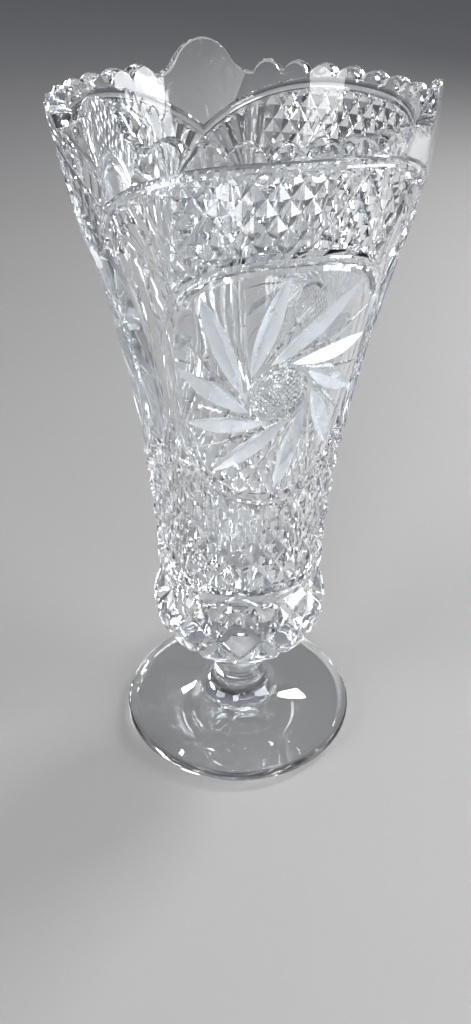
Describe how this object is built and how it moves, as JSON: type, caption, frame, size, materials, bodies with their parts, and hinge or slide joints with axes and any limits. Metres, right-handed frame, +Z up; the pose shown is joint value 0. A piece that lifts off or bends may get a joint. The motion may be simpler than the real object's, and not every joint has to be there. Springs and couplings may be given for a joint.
{
  "type": "cut crystal vase",
  "caption": "Tall footed trumpet vase in clear cut crystal, round bulb on a short stem, scalloped flaring rim and pinwheel medallions.",
  "frame": {"origin": "centre of the flat underside of the foot, on the surface the vase stands on", "axes": "+Z up the vase's axis; -Y faces the middle of one cut panel and +Y one pointed corner of the rim; +X to the right seen from -Y"},
  "size_m": [0.1172, 0.1149, 0.252],
  "materials": {
    "clear_crystal": "fire-polished clear lead crystal",
    "cut_crystal": "polished cut lead crystal"
  },
  "bodies": {
    "root": {"foot": "clear_crystal", "stem": "clear_crystal", "bowl": "cut_crystal"}
  },
  "joints": []
}
